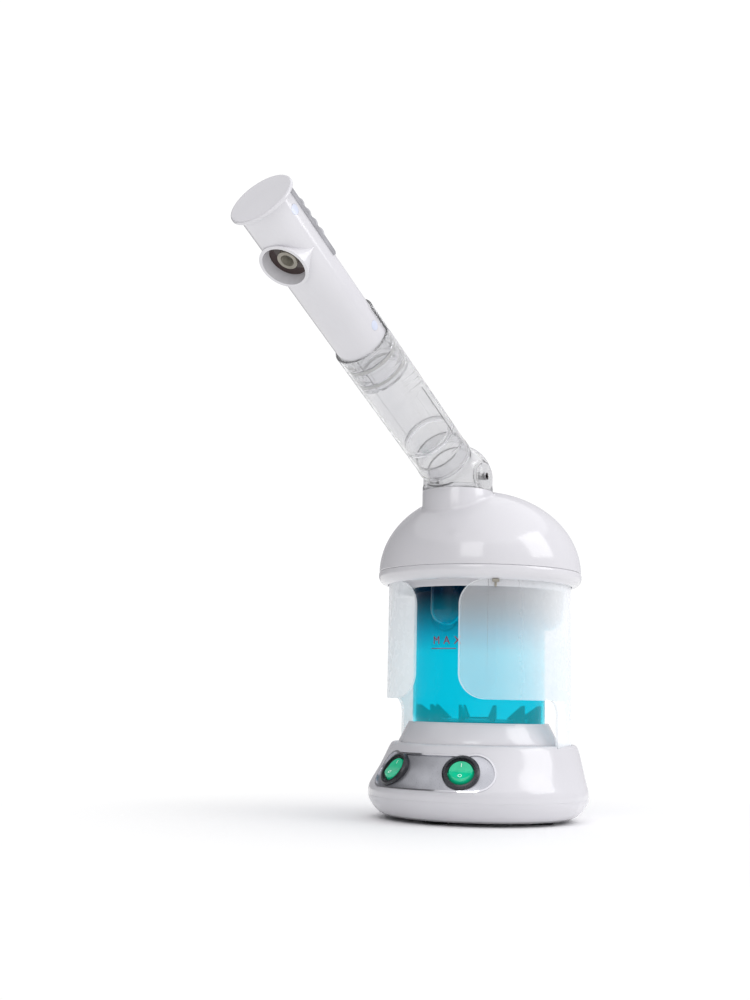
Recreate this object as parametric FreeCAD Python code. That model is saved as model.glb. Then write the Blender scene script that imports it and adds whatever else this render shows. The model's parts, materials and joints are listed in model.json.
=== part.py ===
import FreeCAD, Part
import math
import os

# Facial steamer with a swivelling, tilting, extending arm. Millimetres.
# z = 0 is the table, the axis of the water tank is the z axis, and the front
# (panel, arm) faces -y. The model is symmetric about x = 0 apart from the tank
# and its cover, which sit turned by tank_turn about the axis.

Vec = FreeCAD.Vector
origin = Vec(0, 0, 0)
x_axis = Vec(1, 0, 0)
y_axis = Vec(0, 1, 0)
z_axis = Vec(0, 0, 1)

# Driving dimensions: base
base_radius = 75.0
foot_height = 2.4
foot_radius = 7.0
foot_ring = 50.0
pan_floor = 2.4
seam_height = 15.5
shell_wall = 3.0
ledge_height = 51.0
ledge_radius = 62.1
ledge_shift = 7.0
post_ring = 57.0
post_radius = 5.0
screw_radius = 1.7

# Control panel and its two rocker switches
panel_height = 33.6
panel_slope = 33.0
panel_reach = 41.2
panel_half_width = 12.4
panel_rim = 1.2
panel_recess = 1.8
switch_turn = 22.6
bezel_radius = 12.3
switch_radius = 10.4
rocker_radius = 8.5
rocker_throw = 10.0
pivot_depth = 2.0
axle_radius = 1.2
switch_depth = 18.0
terminal_length = 7.0

# Tank, collar and boiler
collar_foot_radius = 54.5
collar_top_radius = 47.8
collar_top = 65.0
facet_angles = (-34.0, 62.0)
tank_radius = 45.5
tank_wall = 2.0
tank_bottom = 62.0
tank_top = 156.0
tank_turn = 4.7
lobe_radius = 10.5
lobe_reach = 58.5
lobe_bottom = 128.7
fin_count = 12
fin_turn = 15.5
fin_height = 12.3
boiler_radius = 28.5
boiler_bottom = 38.0
boiler_rim_top = 67.0

# Cover and lid
cover_radius = 63.2
cover_wall = 2.0
cover_bottom = 80.5
cover_top = 163.0
window_half_angle = 15.1
window_corner = 17.0
window_top = 158.6
leg_inner_angle = 88.0
leg_outer_angle = 132.0
leg_bottom = 49.3
rim_bottom = 158.2
lid_seam = 167.5
dome_radius = 70.2
dome_rise = 58.0
dome_centre = 167.0
dome_wall = 2.6
plate_radius = 60.6
plate_bottom = 157.5
plate_top = 160.0

# Neck, swivel yoke and ball elbow
neck_shift = 29.6
neck_radius = 24.15
neck_top = 221.3
neck_bore = 23.05
flange_bottom = 206.0
flange_top = 209.1
flange_bore = 20.0
clip_room = 22.6
ball_height = 230.6
ball_radius = 23.6
ball_wall = 2.2
ball_flat = 20.9
seat_gap = 0.3
yoke_top = 224.5
yoke_bore = 16.0
pin_radius = 2.5
pin_clearance = 0.05

# Arm, in its own frame: pivot at the origin, +z along the arm, nozzle side -y
arm_tilt = 58.0
clear_radius = 18.9
clear_bore = 17.5
clear_bottom = 20.0
clear_top = 133.6
tongue_top = 153.0
tongue_half_angle = 65.0
grip_angle = 84.0
grip_heights = (36.0, 95.0)
recess_span = (44.0, 87.0)
insert_bottom = 105.0
insert_radius = 17.42
spigot_radius = 14.65
head_radius = 17.2
head_bore = 15.2
head_bottom = 133.9
spigot_seat = 143.2
head_top = 248.5
cap_radius = 20.9
cap_top = 251.0
nozzle_at = 213.3
nozzle_radius = 15.6
nozzle_face = 17.9
nozzle_floor = 10.3
vent_bottom = 197.0
vent_radius = 18.7
vent_half_angle = 68.0
vent_ribs = (212.0, 219.5, 227.0, 234.5)
jet_stem = 3.6
duct_radius = 5.0
duct_bore = 3.4
duct_bend = 7.0
duct_shift = -nozzle_floor + jet_stem + duct_bend
bulkhead_top = 153.0
plug_radius = 3.25
plug_heights = (144.7, 238.0)

# Outer shape of the base shell: height, radius, shift of the circle to the back
shell_sections = (
    (seam_height, base_radius, 0.0),
    (20.5, 74.9, 0.0),
    (24.5, 73.6, 0.4),
    (33.5, 70.0, 3.4),
    (42.0, 67.0, 5.6),
    (47.0, 65.2, 6.6),
    (50.0, 63.6, 6.9),
    (ledge_height, ledge_radius, ledge_shift),
)


def polar(radius, angle, z=0.0):
    """Point at an angle from the front (-y), positive towards +x."""
    turn = math.radians(angle)
    return Vec(radius * math.sin(turn), -radius * math.cos(turn), z)


def tube(outer, inner, z0, z1, centre=origin):
    base = Vec(centre.x, centre.y, z0)
    solid = Part.makeCylinder(outer, z1 - z0, base)
    return solid.cut(Part.makeCylinder(inner, z1 - z0, base)) if inner else solid


def box(x0, x1, y0, y1, z0, z1):
    return Part.makeBox(x1 - x0, y1 - y0, z1 - z0, Vec(x0, y0, z0))


def revolve(outline, centre=origin):
    """Solid turned about a vertical axis from a closed outline of (radius, z)."""
    points = [Vec(r, 0, z) for r, z in outline]
    face = Part.Face(Part.makePolygon(points + points[:1]))
    return face.revolve(origin, z_axis, 360).translated(Vec(centre.x, centre.y, 0))


def sector(radius, z0, z1, angle0, angle1):
    """Pie slice about the z axis, between two angles from the front."""
    slice_ = Part.makeCylinder(radius, z1 - z0, Vec(0, 0, z0), z_axis, angle1 - angle0)
    return slice_.rotated(origin, z_axis, angle0 - 90)


def fuse(shapes):
    first, *rest = shapes
    return first.multiFuse(rest).removeSplitter() if rest else first


def around(shape, angles):
    return [shape.rotated(origin, z_axis, angle) for angle in angles]


def on_arm(shape):
    """Move a shape from the arm's own frame to its place on the elbow."""
    turned = shape.rotated(origin, x_axis, arm_tilt)
    return turned.translated(Vec(0, -neck_shift, ball_height))


def shell_loft(offset):
    """The base shell's outer shape, grown or shrunk by an offset."""
    wires = []
    for z, radius, shift in shell_sections:
        height = z + offset if z == ledge_height else z
        circle = Part.makeCircle(radius + offset, Vec(0, shift, height))
        wires.append(Part.Wire(circle))
    return Part.makeLoft(wires, True, False)


def front_radius(angle):
    """Radius of the base shell at the panel's middle height."""
    return 69.95 - 3.5 * math.cos(math.radians(angle))


def panel_frame(angle):
    """Origin and outward normal of the shell's face at the panel height."""
    slope = math.radians(panel_slope)
    level = polar(math.cos(slope), angle)
    return polar(front_radius(angle), angle, panel_height), Vec(level.x, level.y, math.sin(slope))


def stadium(half_width):
    """Cutter in the shape of the panel: a band round the front with round ends."""
    rise = half_width * math.cos(math.radians(panel_slope))
    end_angle = panel_reach - math.degrees(panel_half_width / 66.0)
    band = sector(base_radius + 10, panel_height - rise, panel_height + rise, -end_angle, end_angle)
    band = band.cut(Part.makeCylinder(45, 80))
    ends = []
    for angle in (-end_angle, end_angle):
        middle, normal = panel_frame(angle)
        ends.append(Part.makeCylinder(half_width, 34, middle - normal * 17, normal))
    return fuse([band] + ends)


def foot_pads():
    """Four rubber pads and a middle one that keeps the floor from bowing."""
    centres = [origin] + [polar(foot_ring, angle) for angle in (0, 90, 180, 270)]
    return Part.makeCompound([tube(foot_radius, 0, 0, foot_height, centre) for centre in centres])


def post_points():
    return [polar(post_ring, angle) for angle in (45, 135, 225, 315)]


def bottom_pan():
    outline = [(0, pan_floor), (63.5, pan_floor), (67.5, 4.3), (70.8, 7.4), (73.4, 11.2), (74.6, 13.4),
               (base_radius, seam_height), (72.2, seam_height), (71.0, 12.0), (68.4, 8.8),
               (62.5, 5.0), (0, 5.0)]
    pan = revolve(outline)
    for point in post_points():
        pan = pan.cut(tube(screw_radius + 0.2, 0, 0, 8, point))
        pan = pan.cut(tube(3.3, 0, 0, 4.0, point))
    for row in range(4):
        pan = pan.cut(box(-14, 14, row * 6 + 15, row * 6 + 17, 0, 8))
    return pan


def pan_screws():
    screws = []
    for point in post_points():
        head = tube(3.0, 0, pan_floor + 0.2, 4.0, point)
        slot = box(point.x - 2.2, point.x + 2.2, point.y - 0.4, point.y + 0.4, 2, 3.3)
        screws.append(fuse([head, tube(screw_radius, 0, 4.0, 18.0, point)]).cut(slot))
    return Part.makeCompound(screws)


def base_shell():
    inner = shell_loft(-shell_wall)
    shell = shell_loft(0).cut(inner)
    posts = []
    for point in post_points():
        post = tube(post_radius, screw_radius, 5.0, ledge_height, point)
        lower = tube(post_radius + 1, 0, 0, seam_height, point)
        posts.append(post.common(inner.fuse(lower)))
    shell = fuse([shell] + posts)
    shell = shell.cut(tube(47.0, 0, 30, 60))
    shell = shell.cut(stadium(panel_half_width + panel_rim).cut(shell_loft(-panel_recess)))
    for side in (-1, 1):
        middle, normal = panel_frame(side * switch_turn)
        shell = shell.cut(Part.makeCylinder(switch_radius + 0.1, 40, middle - normal * 20, normal))
        leg = leg_slice(cover_radius + 0.3, cover_radius - cover_wall - 0.3, leg_bottom - 0.3, 60, 1.0)
        shell = shell.cut(leg if side > 0 else leg.mirror(origin, x_axis))
    shell = shell.cut(box(-12.2, 12.2, 50, 90, 22, 38))
    return shell.cut(box(-14.7, 14.7, 73.1, 90, 20.3, 39.7))


def control_panel():
    panel = stadium(panel_half_width).common(shell_loft(-0.3).cut(shell_loft(-panel_recess)))
    for side in (-1, 1):
        middle, normal = panel_frame(side * switch_turn)
        panel = panel.cut(Part.makeCylinder(switch_radius + 0.1, 40, middle - normal * 20, normal))
    return panel


def panel_bezel():
    ring = stadium(panel_half_width + panel_rim).cut(stadium(panel_half_width))
    ring = ring.common(shell_loft(0.7).cut(shell_loft(-panel_recess)))
    for side in (-1, 1):
        middle, normal = panel_frame(side * switch_turn)
        ring = ring.cut(Part.makeCylinder(bezel_radius + 0.1, 20, middle - normal * 10, normal))
    return ring


def on_panel(shape, side):
    """Move a switch part, modelled with +z outward and +y up the slope, to the panel."""
    middle, normal = panel_frame(side * switch_turn)
    shape = shape.rotated(origin, x_axis, 90 - panel_slope)
    return shape.rotated(origin, z_axis, side * switch_turn).translated(middle)


def switch_body(side):
    body = tube(switch_radius, 0, -switch_depth, 0.8)
    bezel = revolve([(0, -1.8), (bezel_radius, -1.8), (bezel_radius, 1.2), (bezel_radius - 1.2, 2.4),
                     (rocker_radius + 1.4, 2.6), (0, 2.6)])
    bezel = on_panel(bezel.cut(tube(switch_radius - 0.5, 0, -3.0, 4.0)), side).cut(shell_loft(-0.3))
    tip = -switch_depth - terminal_length
    terminals = [box(x - 0.4, x + 0.4, -3.1, 3.1, tip, -switch_depth) for x in (-6, 0, 6)]
    body = fuse([on_panel(fuse([body] + terminals), side), bezel])
    well = tube(rocker_radius + 0.3, 0, -8.0, 5.0)
    axle_bore = Part.makeCylinder(axle_radius + 0.05, 19.6, Vec(-9.8, 0, -pivot_depth), x_axis)
    hollow = fuse([well, axle_bore])
    return body.cut(on_panel(hollow, side))


def rocker(side):
    """Round rocker on two stub pins: two shallow faces meeting in a valley."""
    pivot = Vec(0, 0, -pivot_depth)
    button = Part.makeSphere(rocker_radius, pivot)
    button = button.cut(box(-10, 10, -10, 10, -12, -5.0))
    for turn in (-rocker_throw, rocker_throw):
        lid = box(-12, 12, 0, 14, 0, 12) if turn > 0 else box(-12, 12, -14, 0, 0, 12)
        lid = lid.rotated(origin, x_axis, turn)
        button = button.cut(lid.translated(Vec(0, 0, 1.6)))
    pins = Part.makeCylinder(axle_radius, 19.2, Vec(-9.6, 0, -pivot_depth), x_axis)
    button = fuse([button, pins]).rotated(pivot, x_axis, -rocker_throw)
    return on_panel(button, side)


def mains_inlet():
    """Two-pin appliance inlet in the back of the base."""
    flange = box(-14.5, 14.5, 73.2, 75.2, 20.5, 39.5)
    body = box(-12, 12, 52, 73.2, 22.2, 37.8)
    socket = fuse([Part.makeCylinder(5.2, 18, Vec(x, 58, 30), y_axis) for x in (-4.2, 4.2)]
                  + [box(-4.2, 4.2, 58, 76, 24.8, 35.2)])
    pins = [Part.makeCylinder(1.2, 14, Vec(x, 58, 30), y_axis) for x in (-4.3, 4.3)]
    tabs = [box(x - 0.4, x + 0.4, 45, 52, 27, 33) for x in (-4.3, 4.3)]
    return fuse([fuse([flange, body]).cut(socket)] + pins + tabs)


def collar():
    outline = [(collar_foot_radius, ledge_height), (collar_foot_radius, ledge_height + 1.2),
               (collar_top_radius + 0.5, collar_top - 0.8), (collar_top_radius, collar_top),
               (tank_radius + 0.2, collar_top), (tank_radius + 0.2, tank_bottom), (39.0, tank_bottom),
               (39.0, 59.5), (46.8, 59.5), (50.5, ledge_height)]
    raised = 0.7
    facet = revolve([(collar_foot_radius, ledge_height), (collar_foot_radius + raised, ledge_height),
                     (collar_foot_radius + raised, ledge_height + 1.2),
                     (collar_top_radius + 1.0, collar_top - 1.0), (collar_top_radius, collar_top - 0.5)])
    facet = facet.common(sector(80, 40, 80, *facet_angles))
    return fuse([revolve(outline), facet])


def boiler_cup():
    outline = [(0, boiler_bottom), (boiler_radius - 3, boiler_bottom), (boiler_radius, boiler_bottom + 3),
               (boiler_radius, 65.5), (34.0, 65.5), (34.0, boiler_rim_top),
               (boiler_radius - 2, boiler_rim_top),
               (boiler_radius - 2, boiler_bottom + 4), (boiler_radius - 4, boiler_bottom + 2),
               (0, boiler_bottom + 2)]
    return revolve(outline)


def heater_ring():
    """Tubular heating element wrapped round the boiler, with two cold ends."""
    ring = Part.makeTorus(boiler_radius + 3.1, 3.0, Vec(0, 0, 46))
    ends = [Part.makeCylinder(3.0, 12, Vec(x, boiler_radius + 3.1, 46), y_axis) for x in (-7, 7)]
    studs = [Part.makeCylinder(1.2, 7, Vec(x, boiler_radius + 15, 46), y_axis) for x in (-7, 7)]
    return fuse([ring] + ends + studs).cut(tube(boiler_radius + 0.05, 0, 40, 52))


def boiler_clamp():
    ring = tube(37.5, boiler_radius + 0.5, 56.5, 59.3)
    for point in [polar(35.0, angle) for angle in range(0, 360, 60)]:
        ring = ring.cut(tube(1.4, 0, 50, 60, point))
    return ring


def thermal_cutout():
    disc = tube(8.0, 0, 34.5, boiler_bottom)
    tabs = [box(x - 2.4, x + 2.4, -0.4, 0.4, 28.0, 34.5) for x in (-5, 5)]
    return fuse([disc] + tabs)


def control_board():
    board = box(-34, 34, 4, 40, 9.0, 10.6)
    for x in (-30, 30):
        for y in (8, 36):
            board = board.fuse(tube(2.6, 0, 5.0, 9.0, Vec(x, y, 0)))
    parts = [box(-10, 6, 10, 22, 10.6, 22), box(12, 20, 28, 36, 10.6, 20),
             tube(4.5, 0, 10.6, 22, Vec(26, 16, 0)), tube(3.0, 0, 10.6, 18, Vec(26, 30, 0)),
             box(-2, 6, 27, 37, 10.6, 15)]
    return fuse([board] + parts)


def lamp_ballast():
    """Small transformer that feeds the ozone lamp."""
    core = box(-31, -13, 14, 34, 10.6, 30)
    coil = box(-33, -11, 18, 30, 13, 27)
    return fuse([core, coil])


def lobe(radius, reach_cut):
    """One of the round pockets that bulge out of the tank's upper wall."""
    centre = Vec(0, -(lobe_reach - lobe_radius), lobe_bottom + lobe_radius)
    ball = Part.makeSphere(radius, centre)
    post = tube(radius, 0, centre.z, reach_cut, centre)
    return fuse([ball, post])


def water_tank():
    angles = [tank_turn + step * 120 for step in range(3)]
    outer = fuse([tube(tank_radius, 0, tank_bottom, tank_top)] + around(lobe(lobe_radius, tank_top), angles))
    hollow = fuse([tube(tank_radius - tank_wall, 0, tank_bottom + 2.5, tank_top + 1)]
                  + around(lobe(lobe_radius - 1.6, tank_top + 1), angles))
    tank = outer.cut(hollow)
    return tank.cut(tube(boiler_radius + 0.5, 0, 50, 80))


def tank_gasket():
    return tube(33.5, boiler_radius + 0.5, tank_bottom + 2.5, 65.5)


def tank_fins():
    """Ring of triangular gussets on the tank's floor, high at the wall."""
    low = tank_bottom + 2.5
    reach = tank_radius - tank_wall - 0.2
    ring = tube(reach, 37.0, low, low + 1.2)
    over_rim = boiler_rim_top + 0.4
    outline = [Vec(0, -34.5, low), Vec(0, -reach, low), Vec(0, -reach, low + fin_height),
               Vec(0, -reach + 0.8, low + fin_height), Vec(0, -boiler_radius, over_rim + 0.6),
               Vec(0, -boiler_radius, over_rim), Vec(0, -34.5, over_rim)]
    face = Part.Face(Part.makePolygon(outline + outline[:1]))
    fin = face.extrude(Vec(1.6, 0, 0)).translated(Vec(-0.8, 0, 0))
    pitch = 360 / fin_count
    angles = [fin_turn + step * pitch for step in range(fin_count)]
    bar = box(-11.0, 11.0, -40.6, -39.2, low + 3.4, low + 4.6)
    bars = around(bar, [fin_turn + pitch / 2 + 120 * step for step in range(3)])
    return fuse([ring] + around(fin, angles) + bars)


def leg_slice(outer, inner, z0, z1, grow=0.0):
    ring = tube(outer, inner, z0, z1)
    return ring.common(sector(outer + 5, z0, z1, leg_inner_angle - grow, leg_outer_angle + grow))


def window(angle):
    """Cutter with round corners for an opening in the cover."""
    half = (cover_radius - 1) * math.sin(math.radians(window_half_angle))
    rect = box(-half, half, -80, -30, cover_bottom - 20, window_top)
    for x in (-1, 1):
        for z in (-1, 1):
            corner_x = x * (half + window_corner)
            corner_z = cover_bottom if z < 0 else window_top
            centre_z = corner_z - z * window_corner
            square = box(min(x * half, corner_x), max(x * half, corner_x), -80, -30,
                         min(corner_z, centre_z), max(corner_z, centre_z))
            disc = Part.makeCylinder(window_corner, 60, Vec(corner_x, -85, centre_z), y_axis)
            rect = rect.fuse(square.cut(disc))
    return rect.rotated(origin, z_axis, angle)


def window_cover():
    """Frosted shroud round the tank: two leaves on a top band, and two legs."""
    outer, inner = cover_radius, cover_radius - cover_wall
    wall = tube(outer, inner, cover_bottom, cover_top)
    for angle in (tank_turn, tank_turn + 180):
        wall = wall.cut(window(angle))
    pieces = [wall]
    for side in (-1, 1):
        leg = leg_slice(outer, inner, leg_bottom, cover_bottom + 1)
        foot = leg_slice(outer, inner, cover_bottom - 9, cover_bottom + 1, 9.0)
        for angle in (leg_inner_angle - 9.0, leg_outer_angle + 9.0):
            centre = polar(outer + 4, angle, cover_bottom - 9)
            foot = foot.cut(Part.makeCylinder(9.6, 12, centre, polar(1, angle) * -1))
        pieces += [shape if side > 0 else shape.mirror(origin, x_axis) for shape in (leg, foot)]
    return fuse(pieces)


def dome_solid(inset, floor):
    """Ellipsoid cap above a floor height."""
    scale = FreeCAD.Matrix()
    scale.scale(dome_radius - inset, dome_radius - inset, dome_rise - inset)
    cap = Part.makeSphere(1.0).transformGeometry(scale).translated(Vec(0, 0, dome_centre))
    return cap.common(tube(dome_radius + 5, 0, floor, dome_centre + dome_rise + 5))


def dome():
    neck_centre = Vec(0, -neck_shift, 0)
    outer = dome_solid(0, lid_seam)
    inner = dome_solid(dome_wall, lid_seam - 1)
    neck = tube(neck_radius, 0, 180, neck_top, neck_centre)
    body = fuse([outer, neck]).cut(tube(neck_radius + 0.75, 0, neck_top, 240, neck_centre))
    hollow = inner.cut(tube(neck_radius, 0, flange_bottom, 240, neck_centre))
    body = body.cut(hollow).cut(tube(60, 0, 150, lid_seam))
    body = body.cut(tube(neck_bore, 0, flange_top, 240, neck_centre))
    body = body.cut(tube(clip_room, 0, 190, flange_bottom, neck_centre))
    body = body.cut(tube(flange_bore, 0, 190, 240, neck_centre))
    outside = dome_solid(1.2, 100)
    posts = [tube(4.2, 1.4, plate_top, 215, point).common(outside) for point in plate_screw_points()]
    return fuse([body] + posts)


def plate_screw_points():
    return [polar(51.0, tank_turn + angle) for angle in (60, 180, 300)]


def rim_ring():
    outline = [(64.0, lid_seam), (69.9, lid_seam), (70.5, 165.6), (70.5, 163.6), (69.4, 161.0),
               (67.2, 159.0), (65.0, rim_bottom), (64.0, rim_bottom)]
    return revolve(outline)


def lock_tab():
    tab = box(-2.2, 2.2, -66.8, -64.6, 156.2, rim_bottom)
    catch = box(-0.7, 0.7, -65.9, -64.9, 153.2, 156.2)
    return fuse([tab, catch]).rotated(origin, z_axis, 41.0)


def lid_plate():
    plate = tube(plate_radius, 0, plate_bottom, plate_top)
    skirt = tube(plate_radius, plate_radius - 2, plate_bottom - 3.5, plate_bottom)
    plate = fuse([plate, skirt]).cut(tube(8.0, 0, 150, 170, Vec(0, -neck_shift, 0)))
    for point in plate_screw_points():
        plate = plate.cut(tube(1.9, 0, 150, 170, point))
    return plate


def lid_flange():
    """Hoop that joins the dome's edge to the plate and the rim, above the cover."""
    return tube(64.0, 56.0, cover_top, lid_seam)


def lid_seal():
    return tube(tank_radius, tank_radius - 4, tank_top, plate_bottom)


def plate_screws():
    screws = []
    for point in plate_screw_points():
        head = tube(3.2, 0, plate_bottom - 1.8, plate_bottom, point)
        screws.append(fuse([head, tube(1.35, 0, plate_bottom, 172, point)]))
    return Part.makeCompound(screws)


def splash_cup():
    """Cup under the steam outlet that keeps spitting water back."""
    centre = Vec(0, -neck_shift, 0)
    outer = fuse([tube(9.5, 0, 148, plate_bottom, centre), Part.makeSphere(9.5, Vec(0, -neck_shift, 148))])
    inner = fuse([tube(8.2, 0, 148, 160, centre), Part.makeSphere(8.2, Vec(0, -neck_shift, 148))])
    cup = outer.cut(inner)
    for turn in (0, 60, 120):
        slot = box(-12, 12, -1.6, 1.6, 149.5, 155.0).rotated(origin, z_axis, turn)
        cup = cup.cut(slot.translated(centre))
    return cup


def swivel_yoke():
    """Clear ring that turns in the neck, with an ear each side of the ball."""
    seat = ball_radius + seat_gap
    centre = Vec(0, -neck_shift, ball_height)
    outline = [(yoke_bore, 203.3), (flange_bore - 0.08, 203.3), (flange_bore - 0.08, flange_top + 0.1),
               (neck_bore - 0.08, flange_top + 0.1), (neck_bore - 0.08, neck_top + 0.15),
               (neck_radius, neck_top + 0.15), (neck_radius, yoke_top), (yoke_bore, yoke_top)]
    ring = revolve(outline, Vec(0, -neck_shift, 0))
    ring = ring.cut(tube(yoke_bore + 5, flange_bore - 1.2, 204.0, 205.6, centre))
    hull = fuse([Part.makeSphere(neck_radius, centre),
                 tube(neck_radius, 0, yoke_top, ball_height, Vec(0, -neck_shift, 0))])
    lug = fuse([Part.makeCylinder(9.5, 60, centre - x_axis * 30, x_axis),
                box(-30, 30, -neck_shift - 9.5, -neck_shift + 9.5, yoke_top - 1, ball_height)])
    ears = hull.common(lug).cut(box(-ball_flat - seat_gap, ball_flat + seat_gap, -80, 20, 190, 270))
    ring = ring.cut(Part.makeSphere(seat, centre))
    stub_path = on_arm(tube(18.7 + 2 * seat_gap, 0, 5, 40))
    yoke = fuse([ring, ears]).cut(stub_path)
    return yoke.cut(Part.makeCylinder(pin_radius, 60, centre - x_axis * 30, x_axis))


def swivel_clip():
    clip = tube(21.6, flange_bore - 1.2, 204.1, 205.5, Vec(0, -neck_shift, 0))
    return clip.cut(box(-3, 3, -neck_shift - 30, -neck_shift, 200, 210))


def pivot_pins():
    """Two dark pins that the ball tilts on, one through each ear."""
    pins = []
    for side in (-1, 1):
        start = Vec(side * 18.2, -neck_shift, ball_height)
        pin = Part.makeCylinder(pin_radius, 5.0, start, x_axis * side)
        socket = Part.makeCylinder(1.2, 2.0, start + x_axis * side * 3.2, x_axis * side)
        pins.append(pin.cut(socket))
    return Part.makeCompound(pins)


def elbow_ball():
    """Hollow ball with a stub for the clear tube and an open underside."""
    shell = Part.makeSphere(ball_radius)
    stub = tube(18.7, 0, 8.0, clear_bottom).fuse(tube(clear_bore - 0.05, 0, clear_bottom, 30.0))
    shell = shell.fuse(stub.rotated(origin, x_axis, arm_tilt))
    cheek = ball_flat - ball_wall
    cavity = Part.makeSphere(ball_radius - ball_wall).common(box(-cheek, cheek, -40, 40, -40, 40))
    bore = tube(15.6, 0, 0, 40).rotated(origin, x_axis, arm_tilt)
    shell = shell.cut(cavity).cut(bore)
    shell = shell.cut(box(ball_flat, 60, -60, 60, -60, 60)).cut(box(-60, -ball_flat, -60, 60, -60, 60))
    wedge = Part.Face(Part.makePolygon([origin, Vec(0, -45, -60), Vec(0, 80, -60), origin]))
    shell = shell.cut(wedge.extrude(Vec(33, 0, 0)).translated(Vec(-16.5, 0, 0)))
    shell = shell.cut(Part.makeCylinder(pin_radius + pin_clearance, 80, Vec(-40, 0, 0), x_axis))
    return shell.translated(Vec(0, -neck_shift, ball_height))


def lower_tube():
    """Clear telescopic sleeve with an end ring, a back tongue and finger grips."""
    sleeve = tube(clear_radius, 0, clear_bottom, clear_top)
    end_ring = tube(clear_radius + 0.45, 0, clear_bottom, clear_bottom + 2.6)
    tongue = tube(clear_radius, 0, clear_top, tongue_top)
    back = (180 - tongue_half_angle, 180 + tongue_half_angle)
    tongue = tongue.common(sector(40, clear_top, tongue_top, *back))
    sleeve = fuse([sleeve, end_ring, tongue])
    for side in (-1, 1):
        recess = tube(40, clear_radius - 0.6, *recess_span)
        middle_angle = grip_angle * side
        recess = recess.common(sector(41, *recess_span, middle_angle - 13, middle_angle + 13))
        sleeve = sleeve.cut(recess)
        for middle in grip_heights:
            for step in (-1, 0, 1):
                rib = grip_rib(side).translated(Vec(0, 0, middle + step * 4.6))
                sleeve = sleeve.fuse(rib)
    sleeve = sleeve.cut(tube(clear_bore, 0, clear_bottom - 1, tongue_top + 1))
    return on_arm(sleeve.removeSplitter())


def grip_rib(side):
    rib = tube(clear_radius + 0.6, clear_radius - 0.6, -9, 9)
    plate = box(-14, 14, -14, 14, -0.9, 0.9).rotated(origin, x_axis, -20)
    plate = plate.translated(Vec(side * clear_radius, 0, 0))
    middle_angle = grip_angle * side
    return rib.common(plate).common(sector(40, -10, 10, middle_angle - 20, middle_angle + 20))


def stop_ring():
    return on_arm(tube(clear_bore, clear_bore - 2.0, 43.0, 46.0))


def slide_insert():
    """Keyed slider that carries the head inside the clear tube."""
    outline = [(13.0, insert_bottom), (insert_radius, insert_bottom), (insert_radius, 109.0), (15.4, 109.0),
               (15.4, 111.4), (insert_radius, 111.4), (insert_radius, 114.0), (16.6, 114.6), (16.6, 118.8),
               (insert_radius, 119.4), (insert_radius, 121.4), (15.4, 121.4), (15.4, 123.8),
               (insert_radius, 123.8), (insert_radius, head_bottom - 0.3), (spigot_radius, head_bottom - 0.3),
               (spigot_radius, 143.4), (spigot_radius - 0.8, 143.4), (spigot_radius - 0.8, 144.9),
               (spigot_radius, 144.9), (spigot_radius, 147.0), (13.0, 147.0)]
    body = revolve(outline)
    slot = box(-1.2, 1.2, -20, -16.2, insert_bottom, head_bottom - 1).rotated(origin, z_axis, 14)
    return on_arm(body.cut(slot))


def slide_rings():
    rings = [tube(clear_bore - 0.06, 15.4, z + 0.1, z + 2.3) for z in (109.0, 121.4)]
    return Part.makeCompound([on_arm(ring) for ring in rings])


def head_clip():
    clip = tube(head_bore - 0.1, spigot_radius - 0.8, 143.5, 144.8)
    return on_arm(clip.cut(box(-3, 3, 0, 30, 140, 150)))


def nozzle_boss():
    """Scoop that grows from a line across the tube to the round nozzle rim."""
    level = FreeCAD.Rotation(x_axis, 90)
    root = Part.Ellipse(Vec(0, 0, 0), 16.9, 0.8).toShape()
    root.Placement = FreeCAD.Placement(Vec(0, -3.5, nozzle_at), level)
    face = Part.makeCircle(nozzle_radius, Vec(0, -nozzle_face + 1.0, nozzle_at), y_axis)
    boss = Part.makeLoft([Part.Wire(root), Part.Wire(face)], True, True)
    rim = Part.makeCylinder(nozzle_radius, 1.0, Vec(0, -nozzle_face, nozzle_at), y_axis)
    return fuse([boss, rim])


def head_tube():
    """White head with the nozzle scoop, vent slots and seats for the plugs."""
    body = fuse([tube(head_radius, 0, head_bottom, head_top), nozzle_boss()])
    bore = fuse([tube(spigot_radius + 0.05, 0, head_bottom - 1, spigot_seat),
                 tube(head_bore, 0, spigot_seat, head_top + 1)])
    hollow = bore.cut(Part.makeCylinder(14.2, 9.2, Vec(0, -nozzle_face, nozzle_at), y_axis))
    body = body.cut(hollow)
    cup = Part.makeCone(13.6, 12.3, nozzle_face - nozzle_floor, Vec(0, -nozzle_face, nozzle_at), y_axis)
    body = body.cut(cup).cut(Part.makeCylinder(12.3, 3, Vec(0, -nozzle_floor, nozzle_at), y_axis))
    for z in plug_heights:
        body = body.cut(Part.makeCylinder(plug_radius, 10, Vec(head_radius - 1.4, 0, z), x_axis))
    for z in vent_ribs:
        body = body.cut(box(-6, 6, 10, 20, z - 1.2, z + 1.2))
    return on_arm(body)


def nozzle_liner():
    """Dark tinted disc behind the nozzle rim, round the jet."""
    disc = Part.makeCylinder(12.3, 1.6, Vec(0, -nozzle_floor, nozzle_at), y_axis)
    return on_arm(disc.cut(Part.makeCylinder(4.7, 4, Vec(0, -nozzle_floor - 1, nozzle_at), y_axis)))


def jet_ring():
    jet = Part.makeCylinder(6.3, 2.0, Vec(0, -nozzle_floor - 2.0, nozzle_at), y_axis)
    stem = Part.makeCylinder(4.7, jet_stem, Vec(0, -nozzle_floor, nozzle_at), y_axis)
    bore = Part.makeCone(4.2, 3.0, 7, Vec(0, -nozzle_floor - 2.0, nozzle_at), y_axis)
    return on_arm(fuse([jet, stem]).cut(bore))


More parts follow.
